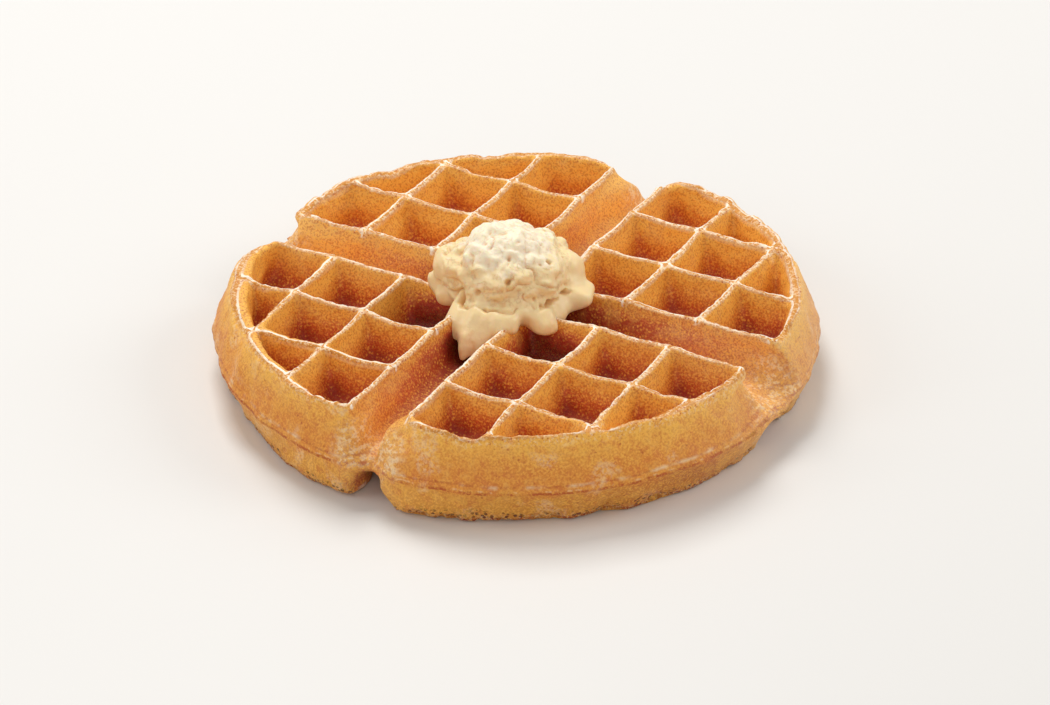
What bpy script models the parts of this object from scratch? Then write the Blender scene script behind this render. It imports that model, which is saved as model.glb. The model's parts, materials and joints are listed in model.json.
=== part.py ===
"""A round waffle from a two-sided iron, with a scoop of soft whipped butter on its middle.

Metres, Z up. The waffle lies flat on its underside ribs, its centre over the origin. The two
wide grooves that part it into quarters run along X and Y. Sizes below are in millimetres and
are multiplied by MM where they are used.
"""

import math

import bmesh
import bpy
from mathutils import Vector

MM = 0.001

# Batter disc: the halves of the iron meet at the seam, and both side walls lean in from it.
SEAM_RADIUS = 90.0
TOP_HALF = 15.5
BOTTOM_HALF = 11.5
WALL_LEAN = math.radians(19.5)
SEAM_BAND = 0.8
RIM_ROUND = 1.2
TURN_STEPS = 72

# Lattice: ribs at even spacing outwards from the two middle grooves.
PITCH = 23.8
FIRST_RIB = 8.95
RIB_WIDTH = 2.6
WEB = 5.0
DRAFT = math.radians(12.0)
MOUTH_RADIUS = 81.4
CELLS = 3
CORNER_FLAT = 1.1
FLAT_SHARE = 0.4
RIM_TIP = 2.0
FLOOR_ROUND = 1.3
EDGE_BREAK = 0.5
QUARTER_ROUND = 5.0
QUARTER_ARC_END = math.radians(-15.0)
OVERSHOOT = 0.4
PAST_RIM = 12.0

# Unevenness: the rim wanders, in waves of (count round the rim, size, start), and each upper
# quarter stands a little higher or lower at the rim.
RIM_WAVES = ((1, 0.9, 0.5), (2, 0.8, 1.8), (3, 0.8, 4.5))
WAVE_STARTS = 40.0
QUARTER_RISE = {(1, -1): 0.25, (-1, -1): 0.0, (-1, 1): 0.35, (1, 1): -0.2}

# Butter: a squat ball of whipped butter on a softer skirt, with lobes running off it.
BALL_RADIUS = 21.0
BALL_RISE = 8.0
BALL_HALF_HEIGHT = 12.5
BALL_X, BALL_Y = -1.5, -2.0
SKIRT_RADIUS = 22.0
SKIRT_SINK = 4.0
SKIRT_SQUARENESS = 3.5
LOBE_SPREAD = math.radians(19.0)
# Each lobe: where it points round Z, how steeply it runs down, how far it reaches.
LOBES = (
    (math.radians(269.0), math.radians(-29.0), 33.0),
    (math.radians(304.0), math.radians(-21.0), 25.5),
    (math.radians(326.0), math.radians(-19.0), 28.0),
    (math.radians(351.0), math.radians(-18.0), 27.0),
    (math.radians(21.0), math.radians(-11.0), 25.5),
    (math.radians(60.0), math.radians(-4.0), 23.5),
    (math.radians(206.0), math.radians(-14.0), 25.0),
)
SPHERE_SUBDIVISIONS = 4
GAP = 0.3

HEIGHT = TOP_HALF + BOTTOM_HALF
SEAM_Z = BOTTOM_HALF


def clear_scene():
    for obj in list(bpy.data.objects):
        bpy.data.objects.remove(obj, do_unlink=True)


def collection(name, shown=True):
    made = bpy.data.collections.new(name)
    made.hide_render = not shown
    bpy.context.scene.collection.children.link(made)
    return made


def food_material(name, colour, roughness):
    material = bpy.data.materials.new(name)
    material.use_nodes = True
    shader = material.node_tree.nodes["Principled BSDF"]
    shader.inputs["Base Color"].default_value = (*colour, 1.0)
    shader.inputs["Roughness"].default_value = roughness
    shader.inputs["Metallic"].default_value = 0.0
    return material


def object_from(bm, name, home):
    """A mesh object made from a bmesh in millimetres, facing out."""
    bmesh.ops.scale(bm, vec=(MM, MM, MM), verts=bm.verts)
    bmesh.ops.recalc_face_normals(bm, faces=bm.faces)
    mesh = bpy.data.meshes.new(name)
    bm.to_mesh(mesh)
    bm.free()
    obj = bpy.data.objects.new(name, mesh)
    home.objects.link(obj)
    return obj


def loft(bm, rings):
    """A closed solid through rings of equal point count, the first and last one capped."""
    loops = [[bm.verts.new(point) for point in ring] for ring in rings]
    for low, high in zip(loops, loops[1:]):
        for i in range(len(low)):
            j = (i + 1) % len(low)
            bm.faces.new((low[i], low[j], high[j], high[i]))
    bm.faces.new(loops[0])
    bm.faces.new(loops[-1])


def boolean(obj, other, operation):
    modifier = obj.modifiers.new(f"{operation.lower()} {other.name}", "BOOLEAN")
    modifier.operation = operation
    modifier.solver = "EXACT"
    modifier.object = other


def settled(obj, name, home):
    """A plain mesh object with what the modifiers make, in place of the one that has them."""
    graph = bpy.context.evaluated_depsgraph_get()
    mesh = bpy.data.meshes.new_from_object(obj.evaluated_get(graph))
    made = bpy.data.objects.new(name, mesh)
    home.objects.link(made)
    bpy.data.objects.remove(obj, do_unlink=True)
    return made


def wall_radius(height_from_seam):
    return SEAM_RADIUS - abs(height_from_seam) * math.tan(WALL_LEAN)


def rim_round(side, grow):
    """The rounded rim of one face of the disc, from the face out to the side wall."""
    face = (TOP_HALF if side > 0 else BOTTOM_HALF) + grow
    corner = wall_radius(face - grow) + grow
    points = []
    for step in range(3):
        turn = math.radians(90.0 - 35.0 * step)
        radius = corner - RIM_ROUND + RIM_ROUND * math.cos(turn)
        points.append((radius, SEAM_Z + side * (face - RIM_ROUND + RIM_ROUND * math.sin(turn))))
    return points


def batter_disc(grow, home):
    """The turned outline of the whole waffle, before any pocket or groove."""
    top = rim_round(1, grow)
    bottom = rim_round(-1, grow)
    seam = SEAM_RADIUS + grow
    profile = [(0.0, top[0][1]), *top]
    profile += [(seam, SEAM_Z + SEAM_BAND / 2), (seam, SEAM_Z - SEAM_BAND / 2)]
    profile += [*reversed(bottom), (0.0, bottom[0][1])]
    bm = bmesh.new()
    verts = [bm.verts.new((x, 0.0, z)) for x, z in profile]
    for upper, lower in zip(verts, verts[1:]):
        bm.edges.new((upper, lower))
    obj = object_from(bm, "batter_disc", home)
    screw = obj.modifiers.new("turn", "SCREW")
    screw.steps = TURN_STEPS
    screw.render_steps = TURN_STEPS
    screw.use_merge_vertices = True
    screw.merge_threshold = 0.00001
    return obj


def cut_profile(side, grow):
    """(height, inset) pairs of a drafted cut from its floor to past the face of the disc."""
    face = TOP_HALF if side > 0 else BOTTOM_HALF
    depth = face - WEB / 2
    lean = math.tan(DRAFT)
    steps = (
        (depth, lean * (depth - FLOOR_ROUND) + FLOOR_ROUND),
        (depth - FLOOR_ROUND, lean * (depth - FLOOR_ROUND)),
        (EDGE_BREAK, 0.0),
        (-OVERSHOOT, -EDGE_BREAK - OVERSHOOT),
    )
    return [(SEAM_Z + side * (face - down + grow), inset + grow) for down, inset in steps]


def rounded(corners, radius):
    """The outline with a flat across each corner that isn't a point along an arc."""
    points = []
    for i, (x, y, sharp) in enumerate(corners):
        here = Vector((x, y))
        if not sharp:
            points.append(here)
            continue
        before = Vector(corners[i - 1][:2]) - here
        after = Vector(corners[(i + 1) % len(corners)][:2]) - here
        flat = min(radius, FLAT_SHARE * before.length, FLAT_SHARE * after.length)
        points.append(here + before.normalized() * flat)
        points.append(here + after.normalized() * flat)
    return points


def full_cell(i, j, inset):
    """Outline of a square pocket, in the quarter where X and Y are positive."""
    x0, y0 = (FIRST_RIB + PITCH * k + RIB_WIDTH / 2 + inset for k in (i, j))
    x1, y1 = (FIRST_RIB + PITCH * (k + 1) - RIB_WIDTH / 2 - inset for k in (i, j))
    return [(x0, y0, True), (x1, y0, True), (x1, y1, True), (x0, y1, True)]


def rim_cell(j, inset):
    """Outline of the outermost pocket of row j, which the rim cuts off along an arc."""
    x0 = FIRST_RIB + PITCH * (CELLS - 1) + RIB_WIDTH / 2 + inset
    y0 = FIRST_RIB + PITCH * j + RIB_WIDTH / 2 + inset
    rim = MOUTH_RADIUS - inset
    row_end = FIRST_RIB + PITCH * (j + 1) - RIB_WIDTH / 2 - inset
    y1 = min(row_end, math.sqrt(rim**2 - x0**2) - RIM_TIP)
    turn0 = math.asin(y0 / rim)
    turn1 = math.asin(y1 / rim)
    middle = (turn0 + turn1) / 2
    return [
        (x0, y0, True),
        (rim * math.cos(turn0), y0, True),
        (rim * math.cos(middle), rim * math.sin(middle), False),
        (rim * math.cos(turn1), y1, True),
        (x0, y1, True),
    ]


def cell_outline(i, j, inset):
    last = CELLS - 1
    if i == last:
        return rounded(rim_cell(j, inset), CORNER_FLAT)
    if j == last:
        mirrored = [Vector((p.y, p.x)) for p in rounded(rim_cell(i, inset), CORNER_FLAT)]
        return mirrored[::-1]
    return rounded(full_cell(i, j, inset), CORNER_FLAT)


def pocket_cutter(side, grow, home):
    """All the pockets of one face as one mesh of separate closed bodies."""
    bm = bmesh.new()
    for sx in (-1, 1):
        for sy in (-1, 1):
            for i in range(CELLS):
                for j in range(CELLS):
                    if i == j == CELLS - 1:
                        continue
                    rings = [
                        [(sx * p.x, sy * p.y, z) for p in cell_outline(i, j, inset)]
                        for z, inset in cut_profile(side, grow)
                    ]
                    loft(bm, rings)
    return object_from(bm, f"pockets_{side}", home)


def groove_outline(z, inset):
    """Half-width outline of a groove, flaring round the quarters' corners at the rim."""
    half = FIRST_RIB - RIB_WIDTH / 2 - inset
    side_turns = [math.radians(-90.0), math.radians(-52.0), QUARTER_ARC_END]
    end_y = half + QUARTER_ROUND * (1 + math.sin(QUARTER_ARC_END))
    rim = wall_radius(z - SEAM_Z)
    centre = math.sqrt(rim**2 - end_y**2) - QUARTER_ROUND * math.cos(QUARTER_ARC_END)
    corner = [
        (centre + QUARTER_ROUND * math.cos(turn), half + QUARTER_ROUND * (1 + math.sin(turn)))
        for turn in side_turns
    ]
    corner.append((SEAM_RADIUS + PAST_RIM, end_y))
    right = corner + [(x, -y) for x, y in reversed(corner)]
    return right + [(-x, -y) for x, y in right]


def groove_cutter(side, grow, along_x, home):
    bm = bmesh.new()
    rings = []
    for z, inset in cut_profile(side, grow):
        outline = groove_outline(z, inset)
        rings.append([(x, y, z) if along_x else (-y, x, z) for x, y in outline])
    loft(bm, rings)
    return object_from(bm, f"groove_{side}_{'x' if along_x else 'y'}", home)


def uneven(mesh):
    """Makes the rim wander and the upper quarters lean, leaving the underside flat."""
    for vert in mesh.vertices:
        x, y, z = (value / MM for value in vert.co)
        radius = math.hypot(x, y)
        turn = math.atan2(y, x)
        share = min(max((radius - WAVE_STARTS) / (SEAM_RADIUS - WAVE_STARTS), 0.0), 1.0)
        wave = sum(size * math.sin(count * turn + start) for count, size, start in RIM_WAVES)
        swell = 1.0 + wave * share / max(radius, 1.0)
        quarter = (1 if x > 0 else -1, 1 if y > 0 else -1)
        aside = min(abs(x), abs(y), FIRST_RIB) / FIRST_RIB
        height = max(z - SEAM_Z, 0.0) / TOP_HALF
        rise = QUARTER_RISE[quarter] * share * height * aside
        vert.co = Vector((x * swell, y * swell, z + rise)) * MM


def waffle_solid(name, grow, home, bench):
    """The waffle, or with grow above 0 the same shape swollen by that much."""
    disc = batter_disc(grow, bench)
    cutters = []
    for side in (1, -1):
        cutters.append(pocket_cutter(side, grow, bench))
        cutters.append(groove_cutter(side, grow, True, bench))
        cutters.append(groove_cutter(side, grow, False, bench))
    for cutter in cutters:
        boolean(disc, cutter, "DIFFERENCE")
    waffle = settled(disc, name, home)
    for cutter in cutters:
        bpy.data.objects.remove(cutter, do_unlink=True)
    uneven(waffle.data)
    return waffle


def butter_reach(direction):
    """How far the butter reaches from the middle of its ball in a direction."""
    flat = math.hypot(direction.x, direction.y)
    turn = math.atan2(direction.y, direction.x)
    pitch = math.atan2(direction.z, flat)
    if direction.z > 0:
        radius, half_height, power = BALL_RADIUS, BALL_HALF_HEIGHT, 2.0
    else:
        radius, half_height, power = SKIRT_RADIUS, BALL_RISE + SKIRT_SINK, SKIRT_SQUARENESS
    reach = ((flat / radius) ** power + (abs(direction.z) / half_height) ** power) ** (-1 / power)
    longest = reach
    for lobe_turn, lobe_pitch, length in LOBES:
        away = math.remainder(turn - lobe_turn, math.tau) * math.cos(pitch)
        off = math.hypot(away, pitch - lobe_pitch) / LOBE_SPREAD
        longest = max(longest, reach + (length - reach) * math.exp(-(off**2)))
    return longest


def butter_scoop(waffle_shape, home, bench):
    """The butter, its underside pressed over the ribs and into the grooves."""
    bm = bmesh.new()
    bmesh.ops.create_icosphere(bm, subdivisions=SPHERE_SUBDIVISIONS, radius=1.0)
    middle = Vector((BALL_X, BALL_Y, HEIGHT + BALL_RISE))
    for vert in bm.verts:
        direction = vert.co.normalized()
        vert.co = middle + direction * butter_reach(direction)
    blob = object_from(bm, "butter_blob", bench)
    boolean(blob, waffle_shape, "DIFFERENCE")
    return settled(blob, "butter", home)


def stand_on_origin(objects):
    """Moves the meshes so that the middle of their common box is over the origin."""
    points = [vert.co for obj in objects for vert in obj.data.vertices]
    shift = Vector(
        (
            -(min(p.x for p in points) + max(p.x for p in points)) / 2,
            -(min(p.y for p in points) + max(p.y for p in points)) / 2,
            -min(p.z for p in points),
        )
    )
    for obj in objects:
        for vert in obj.data.vertices:
            vert.co += shift


def finish(obj, material):
    obj.data.materials.clear()
    obj.data.materials.append(material)
    obj.data.shade_smooth()
    obj.data.set_sharp_from_angle(angle=math.radians(40.0))


def main():
    clear_scene()
    parts = collection("round_waffle")
    bench = collection("cutters", shown=False)
    waffle = waffle_solid("waffle", 0.0, parts, bench)
    clearance = waffle_solid("clearance", GAP, bench, bench)
    clearance.hide_render = True
    clearance.display_type = "WIRE"
    butter = butter_scoop(clearance, parts, bench)
    bpy.data.objects.remove(clearance, do_unlink=True)
    stand_on_origin((waffle, butter))
    finish(waffle, food_material("baked_batter", (0.58, 0.26, 0.07), 0.62))
    finish(butter, food_material("whipped_butter", (0.90, 0.78, 0.55), 0.48))


main()
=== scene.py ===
"""The looks of a round waffle with a scoop of whipped butter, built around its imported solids.

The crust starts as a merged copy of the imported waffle. It is remeshed finely and then worked like dough:
its ribs sag between their crossings, its walls swell, its crests are nicked and its seam is pressed out.
The butter is made afresh from overlapping blobs. Lengths inside the classes are millimetres, measured
from the middle of the grid of ribs and from the level of the rib tops, unless a name says otherwise.
"""

import json
import logging
import math
from dataclasses import dataclass
from enum import Enum

import bmesh
import bpy
import numpy as np
from mathutils import Matrix, Vector, noise


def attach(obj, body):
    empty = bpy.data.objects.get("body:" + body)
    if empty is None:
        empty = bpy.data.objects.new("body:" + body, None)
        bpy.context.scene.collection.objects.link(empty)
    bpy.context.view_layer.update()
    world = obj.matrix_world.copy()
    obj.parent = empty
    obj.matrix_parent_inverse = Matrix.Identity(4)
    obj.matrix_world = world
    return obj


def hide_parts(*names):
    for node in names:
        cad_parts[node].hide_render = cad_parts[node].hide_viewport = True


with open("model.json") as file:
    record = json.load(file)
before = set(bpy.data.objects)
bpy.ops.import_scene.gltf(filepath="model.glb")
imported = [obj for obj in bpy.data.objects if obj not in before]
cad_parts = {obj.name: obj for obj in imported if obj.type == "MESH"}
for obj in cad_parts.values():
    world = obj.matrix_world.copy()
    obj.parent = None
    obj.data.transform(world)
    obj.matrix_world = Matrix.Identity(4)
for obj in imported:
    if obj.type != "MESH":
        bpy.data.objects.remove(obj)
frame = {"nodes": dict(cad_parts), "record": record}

MM = 0.001
log = logging.getLogger("waffle")


# ---------------------------------------------------------------------------------------------------
# Shared measures and small tools
# ---------------------------------------------------------------------------------------------------


class Axis(Enum):
    """The two ways the ribs run."""

    ACROSS = 0
    ALONG = 1


def ease(low: float, high: float, value: np.ndarray) -> np.ndarray:
    """A smooth step from 0 at low to 1 at high.

    Args:
        low: Where the step starts.
        high: Where the step is whole; below low, the step falls instead of rising.
        value: The numbers to step.

    Returns:
        Numbers from 0 to 1.
    """
    share = np.clip((value - low) / (high - low), 0.0, 1.0)
    return share * share * (3.0 - 2.0 * share)


def bump_at(value: np.ndarray, centre: float, width: float) -> np.ndarray:
    """A bell of height 1 round a centre, with its shoulders a width away."""
    return np.exp(-(((value - centre) / width) ** 2))


def turn_gap(turn: np.ndarray | float, centre: float) -> np.ndarray | float:
    """How far a turn is from a centre, the short way round, in degrees."""
    return abs((turn - centre + 180.0) % 360.0 - 180.0)


def polar(points: np.ndarray) -> tuple[np.ndarray, np.ndarray]:
    """The distances of points from the upright axis, and their turns from +X, from 0 to 360 degrees."""
    radius = np.hypot(points[:, 0], points[:, 1])
    return radius, np.degrees(np.arctan2(points[:, 1], points[:, 0])) % 360.0


@dataclass(frozen=True)
class Grain:
    """Smooth noise through space.

    Attributes:
        size: The distance between lumps, in millimetres.
        seed: A shift that makes two grains of one size differ.
        octaves: How many halvings of the size are added.
    """

    size: float
    seed: float = 0.0
    octaves: int = 1

    def at(self, points: np.ndarray) -> np.ndarray:
        """Reads the noise.

        Args:
            points: One row of three coordinates for each place.

        Returns:
            One number for each place, mostly between -1 and 1.
        """
        if self.octaves == 1:
            return np.array([noise.noise(spot) for spot in self._spots(points)])
        return np.array([noise.fractal(spot, 1.0, 2.0, self.octaves) for spot in self._spots(points)])

    def nearest(self, points: np.ndarray) -> np.ndarray:
        """Each place's distance from the nearest of the scattered seeds, in sizes."""
        return np.array([noise.voronoi(spot)[0][0] for spot in self._spots(points)])

    def _spots(self, points: np.ndarray) -> list[list[float]]:
        """The points in sizes, moved by the seed."""
        return (points / self.size + self.seed).tolist()


@dataclass(frozen=True)
class Lattice:
    """The grid of ribs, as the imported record's openings place it.

    Attributes:
        x: The grid's middle in the part's frame.
        y: The grid's middle in the part's frame.
        crest: The height of the rib tops in the part's frame.
        pitch: The distance from rib to rib.
        first: The distance from the middle to the ribs beside a groove.
        rib: The width of a rib's top.
        seam: The height of the seam between the two bakes, in the part's frame.
        edge: The radius at the seam.
    """

    x: float
    y: float
    crest: float
    pitch: float = 23.8
    first: float = 8.95
    rib: float = 2.6
    seam: float = 11.5
    edge: float = 90.0

    @classmethod
    def from_record(cls, record: dict) -> "Lattice":
        """Finds the middle between the four inner whole pockets.

        Args:
            record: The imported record.

        Returns:
            The lattice of this waffle.
        """
        boxes = [
            opening["box_m"]
            for opening in record["physics"]["openings"]
            if opening["name"].startswith("pocket") and opening["name"].endswith("2_2")
        ]
        low, high = np.array(boxes).transpose(1, 0, 2) / MM
        middle = (low + high).mean(axis=0) / 2.0
        return cls(x=float(middle[0]), y=float(middle[1]), crest=float(high[:, 2].max()))

    def local(self, points: np.ndarray) -> np.ndarray:
        """The points measured from the grid's middle and the rib tops."""
        return points - np.array([self.x, self.y, self.crest])

    def placed(self, points: np.ndarray) -> np.ndarray:
        """Local points put back in the part's frame."""
        return points + np.array([self.x, self.y, self.crest])

    def height(self, points: np.ndarray) -> np.ndarray:
        """The heights of local points in the part's frame."""
        return points[:, 2] + self.crest

    def depth(self, points: np.ndarray) -> np.ndarray:
        """How far each local point lies below the crests of its own face."""
        height = self.height(points)
        return np.where(height > self.seam, -points[:, 2], height)

    def beside(self, points: np.ndarray) -> np.ndarray:
        """How far each local point is from the middle line of the nearer groove."""
        return np.abs(points[:, :2]).min(axis=1)

    def off_rib(self, value: np.ndarray) -> np.ndarray:
        """The distance from the nearest rib line that this coordinate crosses."""
        return np.abs(self._past(value))

    def past_rib(self, value: np.ndarray) -> np.ndarray:
        """The signed distance of this coordinate past the nearest rib line."""
        return np.sign(value) * self._past(value)

    def _past(self, value: np.ndarray) -> np.ndarray:
        """How far outwards of the nearest rib line this coordinate is, below 0 inwards of it."""
        past = np.abs(value) - self.first
        return past - np.clip(np.round(past / self.pitch), 0, None) * self.pitch

    def span(self, value: np.ndarray) -> np.ndarray:
        """How far between two crossings this coordinate is, from 0 to 1, and 0 in the grooves."""
        past = (np.abs(value) - self.first) / self.pitch
        return np.where(past > 0.0, past % 1.0, 0.0)

    def bay(self, value: np.ndarray) -> np.ndarray:
        """The signed number of the bay that this coordinate is in, 0 in the groove."""
        past = np.floor((np.abs(value) - self.first) / self.pitch) + 1.0
        return np.sign(value) * np.clip(past, 0.0, None)


class Piece:
    """Helpers for turning bmeshes into finished objects."""

    @staticmethod
    def link(bm: bmesh.types.BMesh, name: str) -> bpy.types.Object:
        """Makes an object of a bmesh and frees it.

        Args:
            bm: The shape, in any unit.
            name: The object's name.

        Returns:
            The new object, in the scene.
        """
        mesh = bpy.data.meshes.new(name)
        bm.to_mesh(mesh)
        bm.free()
        piece = bpy.data.objects.new(name, mesh)
        bpy.context.scene.collection.objects.link(piece)
        return piece

    @staticmethod
    def applied(piece: bpy.types.Object) -> None:
        """Replaces a piece's mesh by what its modifiers make of it.

        Args:
            piece: The object to change.
        """
        bpy.context.view_layer.update()
        graph = bpy.context.evaluated_depsgraph_get()
        before = piece.data
        made = bpy.data.meshes.new_from_object(piece.evaluated_get(graph), depsgraph=graph)
        piece.modifiers.clear()
        piece.data = made
        made.name = piece.name
        bpy.data.meshes.remove(before)

    @staticmethod
    def remeshed(piece: bpy.types.Object, voxel: float) -> None:
        """Fuses the shapes in a piece into one even skin of small faces.

        Args:
            piece: The object to change.
            voxel: The size of the new faces.
        """
        modifier = piece.modifiers.new("fuse", "REMESH")
        modifier.mode = "VOXEL"
        modifier.voxel_size = voxel
        Piece.applied(piece)

    @staticmethod
    def points(mesh: bpy.types.Mesh) -> np.ndarray:
        """The mesh's corners, one row each."""
        return Piece._rows(mesh, "co")

    @staticmethod
    def normals(mesh: bpy.types.Mesh) -> np.ndarray:
        """The mesh's outward directions at its corners, one row each."""
        return Piece._rows(mesh, "normal")

    @staticmethod
    def _rows(mesh: bpy.types.Mesh, name: str) -> np.ndarray:
        """A vector that the mesh holds for each corner, one row each.

        Args:
            mesh: The mesh to read.
            name: What to read of each corner.

        Returns:
            The vectors.
        """
        flat = np.empty(len(mesh.vertices) * 3, np.float32)
        mesh.vertices.foreach_get(name, flat)
        return flat.reshape(-1, 3).astype(float)

    @staticmethod
    def move_to(mesh: bpy.types.Mesh, points: np.ndarray) -> None:
        """Puts the mesh's corners at new points."""
        mesh.vertices.foreach_set("co", points.astype(np.float32).ravel())
        mesh.update()

    @staticmethod
    def note(mesh: bpy.types.Mesh, name: str, values: np.ndarray) -> None:
        """Stores one number for each corner, for the materials to read."""
        layer = mesh.attributes.get(name) or mesh.attributes.new(name, "FLOAT", "POINT")
        layer.data.foreach_set("value", values.astype(np.float32))

    @staticmethod
    def calmed(mesh: bpy.types.Mesh, chosen: np.ndarray, passes: int) -> None:
        """Evens out the chosen corners.

        Args:
            mesh: The mesh to change.
            chosen: True for each corner that may move.
            passes: How many times each moves half way to its neighbours' middle.
        """
        bm = bmesh.new()
        bm.from_mesh(mesh)
        verts = [vert for vert, use in zip(bm.verts, chosen.tolist()) if use]
        for _ in range(passes):
            bmesh.ops.smooth_vert(
                bm, verts=verts, factor=0.5, use_axis_x=True, use_axis_y=True, use_axis_z=True
            )
        bm.to_mesh(mesh)
        bm.free()

    @staticmethod
    def bend(mesh: bpy.types.Mesh, rounds: int) -> np.ndarray:
        """How hollow the skin is at each corner, above 0, or how crested, below 0.

        Args:
            mesh: The mesh to measure.
            rounds: How many rings of neighbours are averaged, so how broad a bend is felt.

        Returns:
            The distance to the neighbours' middle, outwards, in the mesh's unit.
        """
        ends = np.empty(len(mesh.edges) * 2, np.int32)
        mesh.edges.foreach_get("vertices", ends)
        one, other = ends.reshape(-1, 2).T
        count = np.bincount(np.concatenate([one, other])).astype(float)
        points = Piece.points(mesh)
        middle = points.copy()
        for _ in range(rounds):
            for axis in range(3):
                side = middle[:, axis]
                total = np.bincount(one, side[other], len(count)) + np.bincount(other, side[one], len(count))
                middle[:, axis] = total / count
        return ((middle - points) * Piece.normals(mesh)).sum(axis=1)

    @staticmethod
    def finished(piece: bpy.types.Object, material: bpy.types.Material) -> None:
        """Scales a piece's mesh to metres, shades it smooth and gives it its material.

        Args:
            piece: The object to change.
            material: Its material.
        """
        piece.data.transform(Matrix.Scale(MM, 4))
        piece.data.materials.clear()
        piece.data.materials.append(material)
        piece.data.shade_smooth()


# ---------------------------------------------------------------------------------------------------
# Materials
# ---------------------------------------------------------------------------------------------------


def paint(red: int, green: int, blue: int) -> tuple[float, float, float, float]:
    """A colour as seen on a screen, from 0 to 255, made linear for a shader.

    Args:
        red: How red it is.
        green: How green.
        blue: How blue.

    Returns:
        Red, green, blue and an opaque alpha, from 0 to 1.
    """
    shares = (value / 255.0 for value in (red, green, blue))
    linear = (s / 12.92 if s <= 0.04045 else ((s + 0.055) / 1.055) ** 2.4 for s in shares)
    return (*linear, 1.0)


class Value:
    """A number socket that adds Math nodes when it is used in an expression."""

    def __init__(self, recipe: "Recipe", socket: bpy.types.NodeSocket) -> None:
        """Wraps a socket of a recipe's tree."""
        self.recipe = recipe
        self.socket = socket

    def _math(self, operation: str, *terms: "Value | float") -> "Value":
        """Adds one Math node on the terms, in order.

        Args:
            operation: What the node does.
            terms: Its inputs.

        Returns:
            The node's result.
        """
        inputs = dict(enumerate(terms))
        node = self.recipe.node("ShaderNodeMath", {"operation": operation}, inputs)
        return Value(self.recipe, node.outputs[0])

    def __add__(self, other: "Value | float") -> "Value":
        """Self plus other."""
        return self._math("ADD", self, other)

    __radd__ = __add__

    def __mul__(self, other: "Value | float") -> "Value":
        """Self times other."""
        return self._math("MULTIPLY", self, other)

    __rmul__ = __mul__

    def __sub__(self, other: "Value | float") -> "Value":
        """Self less other."""
        return self._math("SUBTRACT", self, other)

    def __rsub__(self, other: "Value | float") -> "Value":
        """Other less self."""
        return self._math("SUBTRACT", other, self)

    def __truediv__(self, other: "Value | float") -> "Value":
        """Self over other."""
        return self._math("DIVIDE", self, other)

    def most(self, other: "Value | float") -> "Value":
        """The larger of the two."""
        return self._math("MAXIMUM", self, other)

    def least(self, other: "Value | float") -> "Value":
        """The smaller of the two."""
        return self._math("MINIMUM", self, other)

    def size(self) -> "Value":
        """The number without its sign."""
        return self._math("ABSOLUTE", self)

    def fade(self, low: float, high: float) -> "Value":
        """A smooth step from 0 at low to 1 at high, either way round.

        Args:
            low: Where the step starts.
            high: Where the step is whole.

        Returns:
            The step, from 0 to 1.
        """
        flip = high < low
        ends = (high, low) if flip else (low, high)
        settings = {"interpolation_type": "SMOOTHSTEP"}
        inputs = {"Value": self, "From Min": ends[0], "From Max": ends[1]}
        node = self.recipe.node("ShaderNodeMapRange", settings, inputs)
        step = Value(self.recipe, node.outputs["Result"])
        return 1.0 - step if flip else step


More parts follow.
